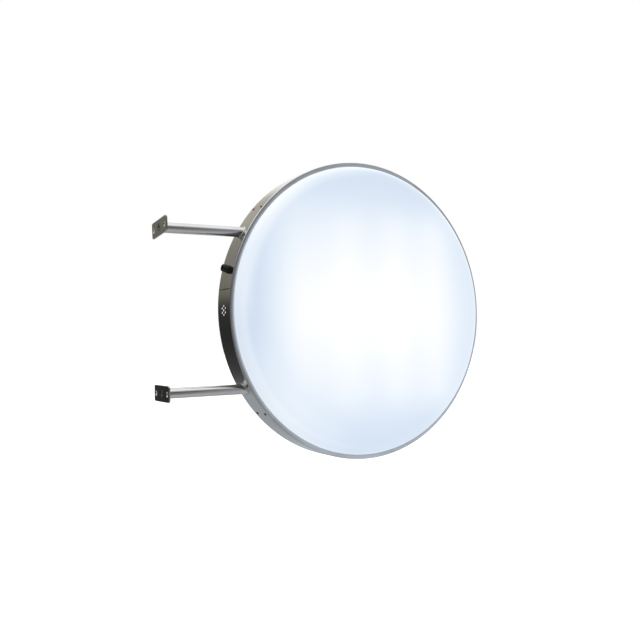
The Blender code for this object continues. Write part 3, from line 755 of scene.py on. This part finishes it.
def make_tube(label, z):
    """Arm tube, square at the wall and coped to the drum."""
    bore = TUBE_RADIUS - SHEET
    edge = TUBE_EDGE
    turns = [tau * i / FINE for i in range(FINE)]

    def ring(radius, x=None):
        points = [(radius * cos(t), z + radius * sin(t)) for t in turns]
        return [(meeting(pz, RADIUS + GAP) if x is None else x, py, pz) for py, pz in points]

    middle = (TUBE_START + meeting(z, RADIUS)) / 2
    rings = [ring(TUBE_RADIUS - edge, TUBE_START), ring(TUBE_RADIUS, TUBE_START + edge)]
    rings += [ring(TUBE_RADIUS, middle), ring(TUBE_RADIUS), ring(bore), ring(bore, middle)]
    rings += [ring(bore, TUBE_START + edge), ring(bore + edge, TUBE_START)]
    mesh = mesh_of(loft(rings, closed=True), f"{label}_tube", ARM_STEEL)
    piece(f"{label}_tube", mesh, "root", "arm_steel", f"{label}_arm_tube")


def make_bead(label, z):
    """Weld bead round the foot of an arm tube, with the ripples of its passes."""
    section = 14
    ripple, swell, swells = 0.06, 0.05, 5
    inset, lift, flatness = 0.35, 0.15, 0.8
    rings = []
    for i in range(RIBBED):
        t = tau * i / RIBBED
        away = Vector((0, cos(t), sin(t)))
        width = BEAD_WIDTH * (1 + ripple * sin(BEAD_RIPPLES * t) + swell * sin(swells * t + 1))
        foot = Vector((0, 0, z)) + away * (TUBE_RADIUS + width * inset)
        foot.x = meeting(foot.z, RADIUS + GAP)
        out = Vector((foot.x - DRUM.x, 0, foot.z)).normalized()
        rim = away - out * away.dot(out)
        rim.normalize()
        centre = foot + out * width * lift
        turns = [tau * k / section for k in range(section)]
        rings.append([centre + rim * width * cos(s) + out * width * flatness * sin(s) for s in turns])
    bm = loft(rings, closed=True)
    lowest = RADIUS + GAP / 2
    for vert in bm.verts:
        out = vert.co - DRUM
        out.y = 0
        if out.length < lowest:
            vert.co += out.normalized() * (lowest - out.length)
    piece(f"{label}_bead", mesh_of(bm, f"{label}_bead", WELD_STEEL), "root", "arm_steel")


def make_plate(label, z):
    """Wall plate with two slots and a countersunk middle hole."""
    half_height, half_width = PLATE_HEIGHT / 2, PLATE_WIDTH / 2
    place = along_x(z) @ Matrix.Rotation(radians(PLATE_SWING[label]), 4, "Z")
    points = [(-half_height, -half_width), (half_height, -half_width)]
    points += [(half_height, half_width), (-half_height, half_width)]
    blank = prism(rounded(points, PLATE_CORNER, 8), 0, PLATE_THICK)
    mesh = mesh_of(blank, f"{label}_plate", PLATE_STEEL)
    mesh.transform(place)
    cuts = []
    outline = arc(SLOT_STRAIGHT, 0, SLOT_RADIUS, -90, 90, 16)
    outline += arc(-SLOT_STRAIGHT, 0, SLOT_RADIUS, 90, 270, 16)
    for y in (-SLOT_Y, SLOT_Y):
        slot = prism(outline, -PLATE_THICK, 2 * PLATE_THICK)
        cuts.append(scratch(slot, place @ Matrix.Translation((0, y, 0))))
    hole, start, end = PLATE_SCREW_RADIUS + GAP, -0.001, 2 * PLATE_THICK
    cone = [(0, start), (COUNTERSINK_RADIUS, start), (hole, COUNTERSINK_DEPTH), (hole, end), (0, end)]
    cuts.append(scratch(turned(cone, 64, closed=False), along_x(z)))
    mesh = carved(mesh, cuts, bevel=PLATE_BEVEL)
    # The countersink's cone faces get the darker material: painted shade in the recess.
    mesh.materials.append(COUNTERSINK_PAINTED_SHADE)
    for polygon in mesh.polygons:
        reach = Vector((polygon.center.y, polygon.center.z - z)).length
        sunk = reach < COUNTERSINK_RADIUS - 0.0003 and abs(polygon.normal.x) < 0.99
        polygon.material_index = int(sunk)
    piece(f"{label}_plate_face", mesh, f"{label}_plate", "plate_steel", f"{label}_wall_plate")


def make_plate_screw(label, z):
    """Countersunk socket screw in the middle of a wall plate."""
    sink, socket, length = 0.0004, 0.0026, 0.022
    head, neck = 0.0058, COUNTERSINK_DEPTH
    profile = [(0, sink), (head - 0.0003, sink), (head, sink + 0.0002)]
    profile += [(PLATE_SCREW_RADIUS, neck), (PLATE_SCREW_RADIUS, length - 0.0005)]
    profile += [(PLATE_SCREW_RADIUS - 0.0005, length), (0, length)]
    mesh = mesh_of(turned(profile, 48, closed=False), f"{label}_screw", PLATE_STEEL, SOCKET_PAINTED_SHADE)
    mesh = carved(mesh, [scratch(prism(circle(PLATE_SOCKET_RADIUS, 6), -0.001, socket))])
    # The walls of the hex socket get the near-black material: painted shade in the recess.
    for polygon in mesh.polygons:
        at = polygon.center
        inside = Vector((at.x, at.y)).length < PLATE_SOCKET_RADIUS + 0.0002
        polygon.material_index = int(inside and sink + GAP / 3 < at.z < socket + GAP)
    mesh.transform(along_x(z))
    piece(f"{label}_countersunk_screw", mesh, "root", "fastener_zinc", f"{label}_plate_screw")


def make_arms():
    for label, z in (("upper", ARM_Z), ("lower", -ARM_Z)):
        make_tube(label, z)
        make_bead(label, z)
        make_plate(label, z)
        make_plate_screw(label, z)


# ---------------------------------------------------------------- cable gland


def make_gland():
    """Nylon cable gland: washer, hexagon body, rubber seal and a ribbed dome nut."""
    place = radial(GLAND_ANGLE, GLAND_Y)
    hole, rim, thick = GLAND_THREAD_RADIUS + GAP, 0.0080, 0.0010
    washer = rounded([(hole, 0), (rim, 0), (rim, thick), (hole, thick)], 0.0003)
    mesh = mesh_of(turned(washer, FINE), "gland_sealing_washer", RUBBER)
    mesh.transform(place)
    piece("gland_sealing_washer", mesh, "root", "black_rubber", "gland_washer")

    foot, top, corner = 0.0013, 0.0038, 0.0083
    flat = corner * cos(pi / 6)
    flange = mesh_of(prism(circle(corner, 6), foot, top), "gland_base", NYLON)
    wide, slope = corner + 0.0001, 0.0006
    chamfer = [(0, foot), (flat + 0.0002, foot), (wide, foot + slope), (wide, top - slope)]
    chamfer += [(flat + 0.0002, top), (0, top)]
    flange = carved(flange, keep=[scratch(turned(chamfer, FINE, closed=False))])
    thread, bore = GLAND_THREAD_RADIUS, GLAND_BORE
    stem = [(bore, -0.0100), (thread - 0.0005, -0.0100), (thread, -0.0095), (thread, top - 0.001)]
    stem += [(0.0060, top - 0.001), (0.0060, 0.0096), (0.0057, 0.0100)]
    stem += [(0.0053, 0.0100), (0.0053, 0.0054), (bore, 0.0054)]
    drill = [(0, -0.02), (bore, -0.02), (bore, 0.02), (0, 0.02)]
    bm = bmesh.new()
    bm.from_mesh(flange)
    mesh = mesh_of(bm, "gland_base", NYLON)
    stem_tool = scratch(turned(stem, FINE))
    mesh = carved(mesh, cuts=[scratch(turned(drill, FINE, closed=False))], join=[stem_tool])
    mesh.transform(place)
    piece("gland_base", mesh, "root", "black_nylon", "gland_body")

    bore, outside, low, high = 0.0040, 0.0050, 0.0057, 0.0110
    seal = rounded([(bore, low), (outside, low), (outside, high), (bore, high)], 0.0003)
    mesh = mesh_of(turned(seal, FINE), "gland_rubber_seal", RUBBER)
    mesh.transform(place)
    piece("gland_rubber_seal", mesh, "gland_seal_body", "black_rubber", "gland_seal")

    foot, start, crest = 0.0041, 0.0106, 0.0143
    inside, outside, shelf = 0.0063, 0.0072, 0.0113
    shoulder = 0.0054
    low_rib, high_rib = foot + 0.0010, start - 0.0003

    def rib(t, h):
        return 1 - 0.045 * (0.5 - 0.5 * cos(GLAND_RIBS * t)) ** 2 if low_rib <= h <= high_rib else 1.0

    levels = (foot + GAP, low_rib - 0.0004, low_rib, (low_rib + high_rib) / 2, high_rib, start)
    profile = [(inside, foot), (outside - GAP, foot), *((outside, level) for level in levels)]
    turns = [radians(9 * k) for k in range(1, 11)]
    profile += [(shoulder + (outside - shoulder) * cos(t), start + (crest - start) * sin(t)) for t in turns]
    profile += [(0.0049, crest), (0.0046, crest - 0.0003), (0.0046, shelf), (inside, shelf)]
    mesh = mesh_of(turned(profile, RIBBED, wave=rib), "gland_cap_nut", NYLON)
    mesh.transform(place)
    piece("gland_cap_nut", mesh, "gland_nut_body", "black_nylon", "gland_dome_nut")


# ---------------------------------------------------------------- carried-over nodes


def dress_cad_nodes():
    """Gives every CAD node that still shows its material."""
    looks = {
        # The joint plate behind the seam is darkened as painted shade.
        "band_joint_plate": SEAM_PAINTED_SHADE,
        "arm_spine": ZINC,
        "gasket": RUBBER,
        "retaining_ring": ALUMINIUM_RING,
        "wall_plug": ZINC,
        "drum_plug": ZINC,
        "arm_wedge": ALUMINIUM_ACROSS,
        "arm_bolt": ZINC,
        "led_rail": ALUMINIUM_ACROSS,
        "led_carrier": ALUMINIUM_UP,
        "led_board": BOARD,
        "driver_tray": ALUMINIUM_UP,
        "driver_case": ALUMINIUM_UP,
        "driver_cap": NYLON,
        "terminal_block": TERMINAL,
        "lead": JACKET,
        "lock_nut": NYLON,
    }
    for name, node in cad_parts.items():
        if node.hide_render:
            continue
        look = next(made for part, made in looks.items() if part in name)
        if not node.material_slots:
            node.data.materials.append(look)
        for slot in node.material_slots:
            slot.material = look


# ---------------------------------------------------------------- studio


CAMERA_AT = (-0.4406, -1.2926, -0.0601)
CAMERA_TURN, CAMERA_LIFT, CAMERA_ROLL = 30.795, 1.571, -1.242
CAMERA_LENS = 42.36


def make_camera():
    """Camera in front of the drum, on its wall side and slightly low, aimed to the right and up."""
    camera = linked("camera", bpy.data.cameras.new("camera"))
    bpy.context.scene.camera = camera
    camera.data.lens = CAMERA_LENS
    turn = Matrix.Rotation(-radians(CAMERA_TURN), 4, "Z")
    lift = Matrix.Rotation(pi / 2 + radians(CAMERA_LIFT), 4, "X")
    roll = Matrix.Rotation(radians(CAMERA_ROLL), 4, "Z")
    camera.matrix_world = Matrix.Translation(CAMERA_AT) @ (turn @ lift) @ roll


def elevations(*stops):
    """Ramp stops from (elevation in degrees, colour or grey) pairs."""
    return [((e + 90) / 180, c if isinstance(c, tuple) else (c, c, c)) for e, c in stops]


# Brightness of the studio by elevation, behind the sign and in front of it, towards the wall and the
# street. The polished steel mirrors it.
TOP = 1.25
WINDOW = (1.1, 1.1, 1.1)
BACK_WALL = elevations(
    (-90, 0.36), (-45, 0.32), (-24, 0.11), (-18, 0.055), (-8, 0.03), (2, 0.04), (5, 0.075),
    (8, (0.22, 0.22, 0.19)), (13, (0.25, 0.235, 0.205)), (21, (0.29, 0.28, 0.245)), (27, (0.34, 0.32, 0.29)),
    (38, 0.55), (52, TOP), (90, TOP),
)
BACK_STREET = elevations(
    (-90, 0.45), (-50, 0.50), (-27, (0.40, 0.43, 0.46)), (-18, (0.50, 0.55, 0.60)), (0, 0.42),
    (15, 0.42), (27, (0.54, 0.50, 0.44)), (40, 0.60), (52, TOP), (90, TOP),
)
FRONT_WALL = elevations(
    (-90, 0.58), (-66, 0.60), (-45, 0.50), (-32, 0.34), (-22, 0.18), (-8, 0.16), (1, 0.14),
    (10, 0.04), (18, 0.10), (25, 0.28), (32, 0.50), (42, 0.85), (50, TOP), (90, TOP),
)
FRONT_STREET = elevations(
    (-90, 0.48), (-60, 0.55), (-30, 0.60), (-9, (0.57, 0.66, 0.79)), (-3, (0.53, 0.58, 0.64)),
    (5, (0.46, 0.485, 0.51)), (13, (0.42, 0.44, 0.48)), (25, 0.44), (38, 0.60), (50, TOP), (90, TOP),
)


def make_world():
    """White for the camera, and a softly graded studio for everything that it lights."""
    world = bpy.data.worlds.new("studio")
    bpy.context.scene.world = world
    world.use_nodes = True
    graph = Graph(world.node_tree)
    x, y, z = graph.split(graph.add("ShaderNodeTexCoord").outputs["Generated"])
    height = graph.total(graph.product(graph.math("ARCSINE", z), 1 / pi), 0.5)
    # Behind the sign, the wall side gives way to the street side more softly above than below.
    low, high = graph.step(z, -0.1, 0.1, -0.177, -0.15), graph.step(z, -0.1, 0.1, -0.158, -0.03)
    streetward = graph.step(x, low, high)
    back = graph.mix(streetward, graph.ramp(height, BACK_WALL), graph.ramp(height, BACK_STREET))
    window = graph.product(graph.step(x, 0.14, 0.40), graph.step(z, 0.16, 0.30))
    window = graph.product(window, graph.step(z, 0.45, 0.60, 1.0, 0.0))
    back = graph.mix(window, back, WINDOW)
    streetward = graph.step(x, 0.34, 0.45)
    front = graph.mix(streetward, graph.ramp(height, FRONT_WALL), graph.ramp(height, FRONT_STREET))
    studio = graph.mix(graph.step(y, -0.15, 0.15), front, back)
    seen = graph.add("ShaderNodeLightPath").outputs["Is Camera Ray"]
    background = world.node_tree.nodes["Background"]
    graph.feed(background.inputs["Color"], graph.mix(seen, studio, (1.0, 1.0, 1.0)))


FLOOR_RADIUS = 60.0
FLOOR_DROP = 0.6


def make_floor():
    """Pale floor, well below the sign."""
    bm = bmesh.new()
    bmesh.ops.create_circle(bm, cap_ends=True, segments=96, radius=FLOOR_RADIUS)
    mesh = bpy.data.meshes.new("floor")
    bm.to_mesh(mesh)
    bm.free()
    made, graph, shader = finish_of("pale_floor", (0.90, 0.90, 0.90), 0.7, Emission_Strength=0.5)
    tone = graph.ramp(graph.noise(graph.place(), 3.0), [(0.3, (0.88,) * 3), (0.7, (0.90,) * 3)])
    graph.feed(shader.inputs["Base Color"], tone)
    shader.inputs["Emission Color"].default_value = (1, 1, 1, 1)
    mesh.materials.append(made)
    floor = linked("floor", mesh)
    floor.location.z = cad_low.z - FLOOR_DROP
    floor.visible_glossy = False
    floor.visible_diffuse = False


make_camera()
make_world()
make_floor()
make_band()
make_faces()
make_trim_screws()
make_arms()
make_gland()
dress_cad_nodes()
bpy.context.scene.view_settings.view_transform = "Standard"
